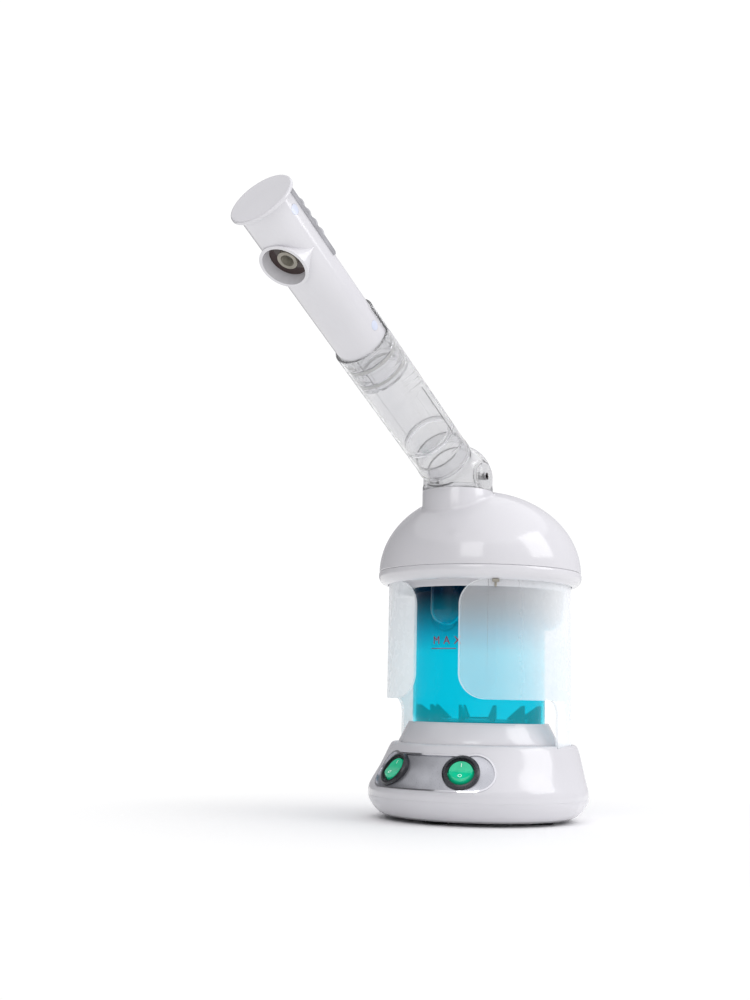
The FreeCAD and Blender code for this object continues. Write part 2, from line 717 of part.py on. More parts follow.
def steam_duct():
    """Silicone pipe from the bulkhead up to the jet, turned a quarter at the top."""
    bend_start = Vec(0, duct_shift, nozzle_at - duct_bend)
    straight = tube(duct_radius, duct_bore, bulkhead_top, bend_start.z, bend_start)
    centre = bend_start - y_axis * duct_bend
    outer, inner = (Part.Face(Part.Wire(Part.makeCircle(radius, bend_start, z_axis)))
                    for radius in (duct_radius, duct_bore))
    elbow = outer.revolve(centre, x_axis, 90).cut(inner.revolve(centre, x_axis, 90))
    return on_arm(fuse([straight, elbow]))


def duct_bulkhead():
    """Disc across the head tube that gathers the steam into the duct."""
    disc = tube(head_bore - 0.05, 0, bulkhead_top - 3.0, bulkhead_top)
    return on_arm(disc.cut(tube(duct_bore, 0, 140, 160, Vec(0, duct_shift, 0))))


def ozone_lamp():
    bulb = fuse([tube(5.2, 0, 226.0, 240.0), Part.makeSphere(5.2, Vec(0, 0, 226.0))])
    return on_arm(bulb.translated(Vec(0, 3.0, 0)))


def lamp_holder():
    socket = tube(6.4, 0, 240.0, 245.5, Vec(0, 3.0, 0))
    disc = tube(13.0, 0, 245.5, head_top)
    return on_arm(fuse([socket, disc]))


def end_cap():
    outline = [(0, cap_top), (cap_radius - 0.6, cap_top), (cap_radius, cap_top - 0.6),
               (cap_radius, head_top + 0.5), (cap_radius - 0.6, head_top),
               (head_bore - 0.05, head_top), (head_bore - 0.05, 243.5),
               (13.1, 243.5), (13.1, head_top), (0, head_top)]
    return on_arm(revolve(outline))


def vent_plate():
    """Ribbed metal plate on the back of the head, over the lamp's vents."""
    plate = tube(vent_radius, head_radius + 0.02, vent_bottom, head_top - 0.3)
    for z in vent_ribs:
        rib = Part.makeTorus(vent_radius, 0.9, Vec(0, 0, z))
        plate = plate.fuse(rib.cut(tube(vent_radius - 0.5, 0, z - 3, z + 3)))
    plate = plate.common(sector(30, 190, 260, 180 - vent_half_angle, 180 + vent_half_angle))
    return on_arm(plate)


def screw_plugs():
    plugs = []
    for z in plug_heights:
        plug = Part.makeCylinder(plug_radius - 0.1, 1.4, Vec(head_radius - 1.4, 0, z), x_axis)
        plugs.append(on_arm(plug.common(tube(head_radius, 0, z - 5, z + 5))))
    return Part.makeCompound(plugs)


parts = {
    "foot_pads": foot_pads,
    "bottom_pan": bottom_pan,
    "pan_screws": pan_screws,
    "base_shell": base_shell,
    "control_panel": control_panel,
    "panel_bezel": panel_bezel,
    "power_switch": lambda: switch_body(-1),
    "ozone_switch": lambda: switch_body(1),
    "power_rocker": lambda: rocker(-1),
    "ozone_rocker": lambda: rocker(1),
    "mains_inlet": mains_inlet,
    "collar": collar,
    "boiler_cup": boiler_cup,
    "heater_ring": heater_ring,
    "boiler_clamp": boiler_clamp,
    "thermal_cutout": thermal_cutout,
    "control_board": control_board,
    "lamp_ballast": lamp_ballast,
    "water_tank": water_tank,
    "tank_gasket": tank_gasket,
    "tank_fins": tank_fins,
    "window_cover": window_cover,
    "dome": dome,
    "rim_ring": rim_ring,
    "lock_tab": lock_tab,
    "lid_plate": lid_plate,
    "lid_flange": lid_flange,
    "lid_seal": lid_seal,
    "plate_screws": plate_screws,
    "splash_cup": splash_cup,
    "swivel_yoke": swivel_yoke,
    "swivel_clip": swivel_clip,
    "pivot_pins": pivot_pins,
    "elbow_ball": elbow_ball,
    "lower_tube": lower_tube,
    "stop_ring": stop_ring,
    "slide_insert": slide_insert,
    "slide_rings": slide_rings,
    "head_clip": head_clip,
    "head_tube": head_tube,
    "nozzle_liner": nozzle_liner,
    "jet_ring": jet_ring,
    "steam_duct": steam_duct,
    "duct_bulkhead": duct_bulkhead,
    "ozone_lamp": ozone_lamp,
    "lamp_holder": lamp_holder,
    "end_cap": end_cap,
    "vent_plate": vent_plate,
    "screw_plugs": screw_plugs,
}

os.makedirs("parts", exist_ok=True)
for name, build in parts.items():
    shape = build()
    shape.exportStep(f"parts/{name}.step")
    print(name, len(shape.Solids), round(shape.Volume), shape.isValid())
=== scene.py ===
import bmesh
import bpy
import json
import math
import numpy as np
from mathutils import Matrix


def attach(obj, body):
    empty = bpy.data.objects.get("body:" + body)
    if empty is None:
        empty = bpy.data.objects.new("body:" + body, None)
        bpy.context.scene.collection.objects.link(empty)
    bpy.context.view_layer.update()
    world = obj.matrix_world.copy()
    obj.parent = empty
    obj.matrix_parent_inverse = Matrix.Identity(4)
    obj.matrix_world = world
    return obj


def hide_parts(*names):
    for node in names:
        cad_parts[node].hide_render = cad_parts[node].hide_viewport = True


# Facial steamer on a pale floor. Everything is in metres; mm turns millimetres into them.
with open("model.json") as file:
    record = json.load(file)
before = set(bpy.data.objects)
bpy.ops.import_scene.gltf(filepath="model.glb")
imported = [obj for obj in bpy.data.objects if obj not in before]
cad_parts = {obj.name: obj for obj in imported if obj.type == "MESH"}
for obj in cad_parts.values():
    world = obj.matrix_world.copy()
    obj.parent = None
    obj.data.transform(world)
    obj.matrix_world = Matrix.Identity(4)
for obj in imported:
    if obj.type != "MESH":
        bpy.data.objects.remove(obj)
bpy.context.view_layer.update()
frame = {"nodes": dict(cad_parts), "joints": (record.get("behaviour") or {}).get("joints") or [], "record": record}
nodes = frame["nodes"]
mm = 0.001


def toLinear(hexColour):
    # sRGB hex to the linear numbers that shaders take
    parts = np.array([int(hexColour[i:i + 2], 16) for i in (1, 3, 5)]) / 255
    linear = np.where(parts <= 0.04045, parts / 12.92, ((parts + 0.055) / 1.055) ** 2.4)
    return (*linear.tolist(), 1.0)


def addNode(tree, kind, settings=None, links=None):
    # one node: plain attributes and input values from settings, sockets joined from links
    node = tree.nodes.new(kind)
    for key, value in (settings or {}).items():
        if key in node.inputs:
            node.inputs[key].default_value = value
        else:
            setattr(node, key, value)
    for key, (source, output) in (links or {}).items():
        tree.links.new(source.outputs[output], node.inputs[key])
    return node


def setRamp(ramp, stops):
    # colour stops as (position, hex), over a ramp that starts with two
    elements = ramp.color_ramp.elements
    while len(elements) < len(stops):
        elements.new(0.5)
    for element, (position, colour) in zip(elements, stops):
        element.position = position
        element.color = toLinear(colour)


# The camera stands low, in front and to the right of the steamer.
cameraSet = dict(place=(0.4912, -0.7889, 0.0771), turn=36.5, rise=8.67, roll=1.2, lens=47.77)


def makeCamera(s):
    # looks level-turned by turn from +y towards -x, tipped up by rise, rolled by roll (degrees)
    turn, rise, roll = (math.radians(s[key]) for key in ("turn", "rise", "roll"))
    forward = np.array([-math.sin(turn) * math.cos(rise), math.cos(turn) * math.cos(rise), math.sin(rise)])
    right = np.array([math.cos(turn), math.sin(turn), 0.0])
    up = np.cross(right, forward)
    axisX = math.cos(roll) * right + math.sin(roll) * up
    axisY = math.cos(roll) * up - math.sin(roll) * right
    data = bpy.data.cameras.new("camera")
    data.lens = s["lens"]
    data.clip_start = 0.05
    camera = bpy.data.objects.new("camera", data)
    matrix = Matrix.Identity(4)
    for column, axis in enumerate((axisX, axisY, -forward, s["place"])):
        for row in range(3):
            matrix[row][column] = axis[row]
    camera.matrix_world = matrix
    bpy.context.collection.objects.link(camera)
    bpy.context.scene.camera = camera


makeCamera(cameraSet)
print("camera placed")


# The room: sizes in metres, angles in degrees, power in watts.
studioSet = dict(skyBright=0.74, skyDark=0.14, skyAngle=36.5, skyBehind=0.84,
                 floorSize=12.0, floorFade=(0.05, 0.34), sun=1.05,
                 front=dict(azimuth=22, rise=30, size=0.46, power=1.6),
                 right=dict(azimuth=108, rise=34, size=0.62, power=3.4))


def makeStudio(s):
    # pale floor that melts into the surround, a white surround that is darker on the left and
    # bright behind clear parts, a soft sun and two soft boxes
    bpy.ops.mesh.primitive_plane_add(size=s["floorSize"])
    floor = bpy.context.object
    floor.name = "floor"
    material = bpy.data.materials.new("paleFloor")
    material.use_nodes = True
    shader = material.node_tree.nodes["Principled BSDF"]
    shader.inputs["Base Color"].default_value = toLinear("#ffffff")
    shader.inputs["Roughness"].default_value = 0.55
    shader.inputs["Specular IOR Level"].default_value = 0.2
    nodeTree = material.node_tree
    place = addNode(nodeTree, "ShaderNodeTexCoord")
    reach = addNode(nodeTree, "ShaderNodeVectorMath", {"operation": "LENGTH"}, {0: (place, "Object")})
    fadeStart, fadeEnd = s["floorFade"]
    fade = addNode(nodeTree, "ShaderNodeMapRange", {"From Min": fadeStart, "From Max": fadeEnd},
                   {"Value": (reach, "Value")})
    fade.interpolation_type = "SMOOTHSTEP"
    bright = addNode(nodeTree, "ShaderNodeEmission", {"Strength": 1.02})
    blend = addNode(nodeTree, "ShaderNodeMixShader", {}, {0: (fade, 0), 1: (shader, 0), 2: (bright, 0)})
    nodeTree.links.new(blend.outputs[0], nodeTree.nodes["Material Output"].inputs["Surface"])
    floor.data.materials.append(material)
    world = bpy.data.worlds.new("studio")
    bpy.context.scene.world = world
    world.use_nodes = True
    tree = world.node_tree
    tree.nodes.clear()
    coord = addNode(tree, "ShaderNodeTexCoord")
    turned = addNode(tree, "ShaderNodeMapping", {"Rotation": (0, 0, math.radians(s["skyAngle"]) * -1)},
                     {"Vector": (coord, "Generated")})
    split = addNode(tree, "ShaderNodeSeparateXYZ", {}, {"Vector": (turned, 0)})
    side = addNode(tree, "ShaderNodeMapRange",
                   {"From Min": -0.95, "From Max": 0.5, "To Min": s["skyDark"], "To Max": s["skyBright"]},
                   {"Value": (split, "X")})
    side.interpolation_type = "SMOOTHSTEP"
    glow = addNode(tree, "ShaderNodeBackground", {"Color": toLinear("#fbfaff")}, {"Strength": (side, 0)})
    plain = addNode(tree, "ShaderNodeBackground", {"Color": (1, 1, 1, 1), "Strength": 1.05})
    path = addNode(tree, "ShaderNodeLightPath")
    behind = addNode(tree, "ShaderNodeBackground", {"Color": (1, 1, 1, 1), "Strength": s["skyBehind"]})
    through = addNode(tree, "ShaderNodeMixShader", {},
                      {0: (path, "Is Transmission Ray"), 1: (glow, 0), 2: (behind, 0)})
    mix = addNode(tree, "ShaderNodeMixShader", {},
                  {0: (path, "Is Camera Ray"), 1: (through, 0), 2: (plain, 0)})
    addNode(tree, "ShaderNodeOutputWorld", {}, {"Surface": (mix, 0)})
    sunData = bpy.data.lights.new("softSun", "SUN")
    sunData.energy = s["sun"]
    sunData.angle = math.radians(100)
    sun = bpy.data.objects.new("softSun", sunData)
    bpy.context.collection.objects.link(sun)
    for name in ("front", "right"):
        addBox(name, s[name])


def addBox(name, s, distance=1.15):
    # a square soft box at an azimuth (degrees from the front, towards +x) and a height angle
    azimuth, rise = math.radians(s["azimuth"]), math.radians(s["rise"])
    level = math.cos(rise)
    back = np.array([math.sin(azimuth) * level, -math.cos(azimuth) * level, math.sin(rise)])
    data = bpy.data.lights.new(name + "Box", "AREA")
    data.size = s["size"]
    data.energy = s["power"]
    lamp = bpy.data.objects.new(name + "Box", data)
    target = np.array([0, 0, 0.15])
    sideways = np.cross([0, 0, 1], back)
    sideways /= np.linalg.norm(sideways)
    axes = (sideways, np.cross(back, sideways), back, target + back * distance)
    matrix = Matrix.Identity(4)
    for column, axis in enumerate(axes):
        for row in range(3):
            matrix[row][column] = axis[row]
    lamp.matrix_world = matrix
    bpy.context.collection.objects.link(lamp)


makeStudio(studioSet)
bpy.context.scene.view_settings.view_transform = "Standard"
print("studio lit")


def newMaterial(name):
    # an empty node material and its tree
    material = bpy.data.materials.new(name)
    material.use_nodes = True
    tree = material.node_tree
    tree.nodes.clear()
    return material, tree


def makeFinish(name, s):
    # colour drifts between two near shades, roughness between two values, and a shallow
    # grain of the given size bumps the surface; a sheer one covers more where it is seen edge on
    material, tree = newMaterial(name)
    coord = addNode(tree, "ShaderNodeTexCoord")
    stretch = addNode(tree, "ShaderNodeMapping", {"Scale": s.get("stretch", (1, 1, 1))},
                      {"Vector": (coord, "Object")})
    grain = addNode(tree, "ShaderNodeTexNoise", {"Scale": 1 / (s["grain"] * mm), "Detail": 3.0},
                    {"Vector": (stretch, 0)})
    cloud = addNode(tree, "ShaderNodeTexNoise", {"Scale": 1 / (s["cloud"] * mm), "Detail": 2.0},
                    {"Vector": (coord, "Object")})
    shade = addNode(tree, "ShaderNodeValToRGB", {}, {"Fac": (cloud, 0)})
    setRamp(shade, ((0.35, s["dark"]), (0.65, s["light"])))
    gloss = addNode(tree, "ShaderNodeMapRange",
                    {"From Min": 0.3, "From Max": 0.7, "To Min": s["rough"][0], "To Max": s["rough"][1]},
                    {"Value": (grain, 0)})
    relief = addNode(tree, "ShaderNodeBump", {"Strength": s["relief"], "Distance": s["depth"] * mm},
                     {"Height": (grain, 0)})
    links = {"Base Color": (shade, 0), "Roughness": (gloss, 0), "Normal": (relief, 0)}
    if "sheer" in s:
        facing = addNode(tree, "ShaderNodeLayerWeight", {"Blend": 0.5})
        milk = addNode(tree, "ShaderNodeMapRange", {"To Min": s["sheer"][0], "To Max": s["sheer"][1]},
                       {"Value": (facing, "Facing")})
        links["Alpha"] = (milk, 0)
    shader = addNode(tree, "ShaderNodeBsdfPrincipled", s.get("shader"), links)
    addNode(tree, "ShaderNodeOutputMaterial", {}, {"Surface": (shader, 0)})
    return material


finishes = dict(
    # injection-moulded ABS: high gloss, faint lilac white, very faint orange peel
    white_shell=dict(dark="#d7d6da", light="#dcdbdf", rough=(0.13, 0.2), grain=4,
                     cloud=60, relief=0.06, depth=0.05,
                     shader={"IOR": 1.53, "Coat Weight": 0.3, "Coat Roughness": 0.05}),
    # aluminium-look foil on the switch panel: satin, fine flake
    silver_panel=dict(dark="#b3b4ba", light="#c3c4ca", rough=(0.26, 0.36), grain=0.5,
                      cloud=14, relief=0.08, depth=0.02, shader={"Metallic": 0.85}),
    # chrome-plated ABS: mirror bright
    chrome_trim=dict(dark="#d6d6da", light="#dedee2", rough=(0.05, 0.09), grain=3,
                     cloud=30, relief=0.03, depth=0.02, shader={"Metallic": 1.0}),
    # black nylon switch housing: glossy with soft edges
    black_plastic=dict(dark="#232429", light="#2d2e34", rough=(0.22, 0.32), grain=0.9,
                       cloud=12, relief=0.08, depth=0.02, shader={"IOR": 1.53}),
    # tinted polycarbonate rocker, wet gloss; its faint emission is a painted glow standing in for light through
    # the plastic
    green_rocker=dict(dark="#04b182", light="#17c795", rough=(0.07, 0.12), grain=2,
                      cloud=9, relief=0.03, depth=0.02,
                      shader={"IOR": 1.58, "Coat Weight": 0.5, "Emission Color": toLinear("#12d69a"),
                              "Emission Strength": 0.16}),
    # clear styrene, polished mould: bright rims, nearly colourless
    clear_plastic=dict(dark="#f6f6f8", light="#fbfbfc", rough=(0.05, 0.12), grain=5,
                       cloud=40, relief=0.04, depth=0.03,
                       shader={"IOR": 1.3, "Transmission Weight": 0.9, "Coat Weight": 0.5, "Coat IOR": 1.5,
                               "Coat Roughness": 0.04}),
    # frosted polypropylene cover: milky, denser at its edges; its white emission is a painted glow that brightens
    # the whole cover
    frosted_plastic=dict(dark="#eef2f6", light="#f6f8fa", rough=(0.24, 0.30), grain=6,
                         cloud=50, relief=0.02, depth=0.03, sheer=(0.2, 0.8),
                         shader={"IOR": 1.45, "Emission Color": toLinear("#ffffff"),
                                 "Emission Strength": 0.14}),
    # tinted styrene rib frame on the tank floor: teal tint, made near black as painted shade standing in for the
    # shadows and reflections on the ribs
    dark_teal=dict(dark="#03161d", light="#05222b", rough=(0.08, 0.14), grain=3,
                   cloud=20, relief=0.03, depth=0.02, shader={"IOR": 1.4, "Transmission Weight": 0.35}),
    # moulded silicone: soft, matte, milky
    silicone=dict(dark="#cfcfcc", light="#dadad7", rough=(0.5, 0.62), grain=0.8,
                  cloud=15, relief=0.1, depth=0.03, shader={"IOR": 1.41}),
    # moulded rubber foot: black, dry
    rubber=dict(dark="#1c1c1d", light="#262627", rough=(0.65, 0.8), grain=0.5,
                cloud=10, relief=0.25, depth=0.05, shader={"IOR": 1.5}),
    # die-cast aluminium cup: satin with casting skin
    boiler_metal=dict(dark="#a9abae", light="#bcbec1", rough=(0.32, 0.48), grain=1.0,
                      cloud=18, relief=0.2, depth=0.05, shader={"Metallic": 1.0}),
    # zinc-plated steel: bright, slightly blue
    steel=dict(dark="#9fa2a6", light="#b7babf", rough=(0.25, 0.38), grain=0.6,
               cloud=8, relief=0.1, depth=0.02, shader={"Metallic": 1.0}),
    # blackened steel pin: dark, oily
    dark_steel=dict(dark="#2a2527", light="#3a3436", rough=(0.25, 0.35), grain=0.6,
                    cloud=5, relief=0.1, depth=0.02, shader={"Metallic": 0.9}),
    # glass-fibre board under green solder mask
    circuit_board=dict(dark="#0d5a33", light="#136b3e", rough=(0.28, 0.4), grain=0.7,
                       cloud=9, relief=0.1, depth=0.02, shader={"IOR": 1.5}),
    # lacquered iron stack and coil of the ballast
    ballast_core=dict(dark="#4a4a4f", light="#5a5a60", rough=(0.4, 0.55), grain=0.6,
                      cloud=9, relief=0.2, depth=0.05, stretch=(1, 1, 6), shader={"Metallic": 0.5}),
    # brown acrylic behind the nozzle, deep and glossy; its near black darkness is painted shade of the nozzle's
    # inside, over a warm tint
    brown_lens=dict(dark="#2a1513", light="#37201c", rough=(0.08, 0.14), grain=2,
                    cloud=10, relief=0.04, depth=0.02, shader={"IOR": 1.49, "Coat Weight": 0.4}),
    # glass-filled nylon jet: grey, satin
    grey_plastic=dict(dark="#8d887d", light="#a19c91", rough=(0.35, 0.48), grain=0.7,
                      cloud=6, relief=0.15, depth=0.03, shader={"IOR": 1.53}),
    # rolled stainless plate: bright, brushed along the arm
    vent_metal=dict(dark="#a7a7ab", light="#c4c4c8", rough=(0.2, 0.34), grain=0.8,
                    cloud=16, relief=0.12, depth=0.02, stretch=(4, 1, 1), shader={"Metallic": 1.0}),
    # quartz tube of the lamp: water clear
    lamp_glass=dict(dark="#f2f5f8", light="#f8fafc", rough=(0.02, 0.04), grain=5,
                    cloud=20, relief=0.02, depth=0.02, shader={"IOR": 1.46, "Transmission Weight": 0.95}),
    # pale blue-grey push-in plug: glossy styrene
    plug_plastic=dict(dark="#ccd3e6", light="#d6dcec", rough=(0.15, 0.22), grain=2,
                      cloud=10, relief=0.04, depth=0.02, shader={"IOR": 1.5}),
    # red pad-printed ink of the fill mark: flat, thin
    markInk=dict(dark="#8e1c34", light="#9c2a40", rough=(0.45, 0.6), grain=0.4,
                 cloud=4, relief=0.1, depth=0.01, shader={"IOR": 1.5}),
    # white ink of the switch marks; its emission is a painted glow that brightens the print
    whiteInk=dict(dark="#e9f7f1", light="#f3fbf7", rough=(0.35, 0.5), grain=0.4,
                  cloud=4, relief=0.1, depth=0.01,
                  shader={"IOR": 1.5, "Emission Color": toLinear("#e9fff6"), "Emission Strength": 0.2}),
)


# the tank colour runs from cyan at low to the painted dark teal shade at high (metres); grain in mm
tankTintAndShade = dict(low=0.112, high=0.150, grain=4)


def makeTankTintShadeAndGlow(s):
    # tinted clear styrene, bright cyan low down; the dark teal towards the top is painted shade under the lid, and
    # the emission in the same colours is a painted glow
    material, tree = newMaterial("cyanStyreneShadedGlowing")
    coord = addNode(tree, "ShaderNodeTexCoord")
    split = addNode(tree, "ShaderNodeSeparateXYZ", {}, {"Vector": (coord, "Object")})
    height = addNode(tree, "ShaderNodeMapRange", {"From Min": s["low"], "From Max": s["high"]},
                     {"Value": (split, "Z")})
    tintAndShade = addNode(tree, "ShaderNodeValToRGB", {}, {"Fac": (height, 0)})
    # cyan below, with painted shade darkening it to teal and near black at the top
    setRamp(tintAndShade, ((0.0, "#00d6e6"), (0.4, "#00b4ca"), (1.0, "#00324e")))
    grain = addNode(tree, "ShaderNodeTexNoise", {"Scale": 1 / (s["grain"] * mm)},
                    {"Vector": (coord, "Object")})
    relief = addNode(tree, "ShaderNodeBump", {"Strength": 0.04, "Distance": 0.03 * mm},
                     {"Height": (grain, 0)})
    # emission in the ramp's colours: a painted glow standing in for light passing through the tank
    shader = addNode(tree, "ShaderNodeBsdfPrincipled",
                     {"IOR": 1.18, "Transmission Weight": 0.86, "Roughness": 0.06,
                      "Emission Strength": 0.12, "Coat Weight": 0.25, "Coat Roughness": 0.04},
                     {"Base Color": (tintAndShade, 0), "Emission Color": (tintAndShade, 0), "Normal": (relief, 0)})
    addNode(tree, "ShaderNodeOutputMaterial", {}, {"Surface": (shader, 0)})
    return material


materials = {name: makeFinish(name, s) for name, s in finishes.items()}
materials["cyan_tank"] = makeTankTintShadeAndGlow(tankTintAndShade)
slotOf = {row["node"]: row["material_slot"] for row in frame["record"]["subparts"]}
bodyOf = {node: body for body, listed in frame["record"]["behaviour"]["bodies"].items() for node in listed}
for name, node in nodes.items():
    for slot in node.material_slots:
        slot.material = materials[slotOf[name]]
print("materials on", len(nodes), "nodes")


def camelName(name):
    # words joined by underscores, as camelCase
    first, *others = name.split("_")
    return first + "".join(word.capitalize() for word in others)


def addPiece(name, mesh, finish, body, node=None):
    # links a finished mesh as a piece on a body, in place of a node if one is named
    piece = bpy.data.objects.new(name, mesh)
    bpy.context.collection.objects.link(piece)
    piece.data.materials.append(materials[finish])
    if node:
        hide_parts(node)
    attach(piece, body)
    return piece


def gridMesh(name, points, sharp=40):
    # points[u, v] is a grid of places that closes on itself both ways; faces are its quads
    rows, columns = points.shape[:2]
    index = np.arange(rows * columns).reshape(rows, columns)
    right, above = np.roll(index, -1, axis=0), np.roll(index, -1, axis=1)
    corners = np.stack([index, right, np.roll(right, -1, axis=1), above], axis=-1).reshape(-1, 4)
    mesh = bpy.data.meshes.new(name)
    mesh.from_pydata(points.reshape(-1, 3), [], corners)
    mesh.update()
    mesh.shade_smooth()
    mesh.set_sharp_from_angle(angle=math.radians(sharp))
    return mesh


def roundOff(outline, radius, steps=5):
    # closed outline with every corner swapped for a quadratic curve that starts and ends a
    # radius away from it, or less where its sides are short
    points = np.array(outline, float)
    before, after = np.roll(points, 1, axis=0) - points, np.roll(points, -1, axis=0) - points
    lengthBefore = np.linalg.norm(before, axis=1, keepdims=True)
    lengthAfter = np.linalg.norm(after, axis=1, keepdims=True)
    reach = np.minimum(radius, 0.45 * np.minimum(lengthBefore, lengthAfter))
    start = points + before / lengthBefore * reach
    end = points + after / lengthAfter * reach
    t = np.linspace(0, 1, steps)[None, :, None]
    curve = (1 - t) ** 2 * start[:, None] + 2 * t * (1 - t) * points[:, None] + t ** 2 * end[:, None]
    return curve.reshape(-1, 2)


def turned(name, outline, steps=192):
    # closed outline of (radius, height) in mm carried round the z axis
    angle = np.linspace(0, 2 * math.pi, steps, endpoint=False)[:, None]
    radius, height = outline[:, 0][None], outline[:, 1][None]
    points = np.stack([radius * np.cos(angle), radius * np.sin(angle), height + 0 * angle], axis=-1)
    return gridMesh(name, points * mm)


def softCopy(node, finish, width=0.3, sharp=32):
    # a copy of a node with its doubles merged, its edges rounded by a narrow bevel and its
    # normals weighted by face size, so flat and round stretches both shade evenly
    mesh = nodes[node].data.copy()
    mesh.materials.clear()
    if "custom_normal" in mesh.attributes:
        mesh.attributes.remove(mesh.attributes["custom_normal"])
    build = bmesh.new()
    build.from_mesh(mesh)
    bmesh.ops.remove_doubles(build, verts=build.verts, dist=0.002 * mm)
    bmesh.ops.dissolve_limit(build, angle_limit=math.radians(0.05), verts=build.verts, edges=build.edges)
    build.to_mesh(mesh)
    build.free()
    mesh.shade_smooth()
    mesh.set_sharp_from_angle(angle=math.radians(sharp))
    piece = addPiece(camelName(node + "_soft"), mesh, finish, bodyOf[node], node)
    bevel = piece.modifiers.new("edge", "BEVEL")
    bevel.limit_method = "ANGLE"
    bevel.angle_limit = math.radians(sharp)
    bevel.width = width * mm
    bevel.segments = 2
    weighted = piece.modifiers.new("normals", "WEIGHTED_NORMAL")
    weighted.keep_sharp = True
    return piece


# The dome with its neck, in mm; the neck stands neckShift in front of the dome's axis.
domeSet = dict(radius=70.2, rise=58.0, centre=167.0, wall=2.6, seam=167.5, neckShift=29.6, neckRadius=24.15,
               neckTop=221.3, bore=23.05, flange=(20.0, 206.0, 209.1), fillet=1.9, lip=0.45, gap=0.75,
               steps=320)


def domePoints(s):
    # Rays leave the neck's axis in every direction. Along each ray the outside runs down the
    # neck's wall, through a quadratic fillet, and over the ellipsoid
    # z = centre + rise * sqrt(1 - (x*x + y*y) / radius^2) to the seam; then back inside.
    # Behind, where the ellipsoid stands higher than the neck, the wall steps out by the gap and
    # rises to it, so the yoke can turn.
    angle = np.linspace(0, 2 * math.pi, s["steps"], endpoint=False)[:, None]
    dx, dy = np.cos(angle), np.sin(angle)

    def edge(radius):
        along = s["neckShift"] * dy
        return along + np.sqrt(along ** 2 - s["neckShift"] ** 2 + radius ** 2)

    def height(distance, radius, rise):
        x, y = distance * dx, distance * dy - s["neckShift"]
        return s["centre"] + rise * np.sqrt(np.maximum(0, 1 - (x ** 2 + y ** 2) / radius ** 2))

    def fixed(rows):
        ones = np.ones_like(angle)
        return [np.concatenate([ones * row[part] for row in rows], 1) for part in (0, 1)]

    neck, lip, top = s["neckRadius"], s["lip"], s["neckTop"]
    seamRadius = s["radius"] * math.sqrt(1 - ((s["seam"] - s["centre"]) / s["rise"]) ** 2)
    start = neck + s["fillet"]
    high = np.clip(height(neck + s["gap"], s["radius"], s["rise"]) - top + 0.5, 0, 1)
    wall = neck + s["gap"] * high
    foot = height(wall, s["radius"], s["rise"])
    t = np.linspace(0, 1, 9)[None]
    filletD = (1 - t) ** 2 * wall + 2 * t * (1 - t) * wall + t ** 2 * start
    filletZ = (1 - t) ** 2 * (foot + np.clip(top - lip - foot, -0.4, s["fillet"])) + 2 * t * (1 - t) * foot
    filletZ = filletZ + t ** 2 * height(start, s["radius"], s["rise"])
    span = np.linspace(0, 1, 60)[None]
    outD = edge(seamRadius) - (edge(seamRadius) - start) * (1 - span) ** 2
    outZ = np.maximum(height(outD, s["radius"], s["rise"]), s["seam"] + lip)
    inner, innerRise = s["radius"] - s["wall"], s["rise"] - s["wall"]
    backSpan = np.linspace(1, 0, 40)[None]
    inD = edge(inner - 0.01) - (edge(inner - 0.01) - neck) * (1 - backSpan) ** 2
    inZ = np.maximum(height(inD, inner, innerRise), s["seam"])
    flangeBore, flangeLow, flangeHigh = s["flange"]
    wallD = neck - 0.7
    lipRows = fixed([(s["bore"], top - 0.3), (s["bore"] + 0.25, top), (neck - lip, top),
                     (neck - 0.12, top - 0.12), (neck, top - lip)])
    stepRows = fixed([(s["bore"], top - 0.3), (s["bore"] + 0.25, top), (neck - lip, top),
                      (neck + s["gap"] - 0.1, top), (neck + s["gap"], top + 0.1)])
    lipRows = [(1 - high) * low + high * step for low, step in zip(lipRows, stepRows)]
    seamRows = (np.concatenate([edge(seamRadius) - 0.1, edge(seamRadius) - lip], 1),
                np.concatenate([outZ[:, -1:] - 0.3, outZ[:, -1:] * 0 + s["seam"]], 1))
    insideRows = fixed([(wallD, flangeLow), (flangeBore, flangeLow), (flangeBore, flangeHigh),
                        (s["bore"], flangeHigh)])
    distance = np.concatenate([lipRows[0], filletD, outD[:, 1:], seamRows[0], inD, insideRows[0]], 1)
    level = np.concatenate([lipRows[1], filletZ, outZ[:, 1:], seamRows[1], inZ, insideRows[1]], 1)
    x, y = distance * dx, distance * dy - s["neckShift"]
    return np.stack([x, y, level], axis=-1)[:, ::-1] * mm


addPiece("domeShell", gridMesh("domeShell", domePoints(domeSet), 50), "white_shell", "lid", "dome")
print("dome made")


# The rim ring under the dome's seam, as (radius, height) in mm.
rimOutline = [(64.0, 167.5), (70.0, 167.5), (70.5, 165.6), (70.5, 163.6), (69.4, 161.0),
              (67.2, 159.0), (65.0, 158.2), (64.0, 158.2)]
addPiece("rimRing", turned("rimRing", roundOff(rimOutline, 0.8)[::-1]), "white_shell", "lid", "rim_ring")

# Moulded parts and the width in mm that rounds their edges.
softParts = dict(base_shell=0.5, bottom_pan=0.4, collar=0.4, head_tube=0.35, end_cap=0.35, window_cover=0.5,
                 lid_plate=0.3, lower_tube=0.3, slide_insert=0.25, swivel_yoke=0.3, elbow_ball=0.3,
                 power_rocker=0.25, ozone_rocker=0.25, power_switch=0.3, ozone_switch=0.3, vent_plate=0.15,
                 panel_bezel=0.15, water_tank=0.3)
for part, width in softParts.items():
    softCopy(part, slotOf[part], width)
print("edges rounded on", len(softParts), "parts")


# The fill mark on the tank: mm and degrees of azimuth from the front.
fillMark = dict(radius=45.55, height=116.6, letter=5.2, start=-10.5, line=(-12.5, 12.5, 113.4, 0.5),
                thick=0.08)


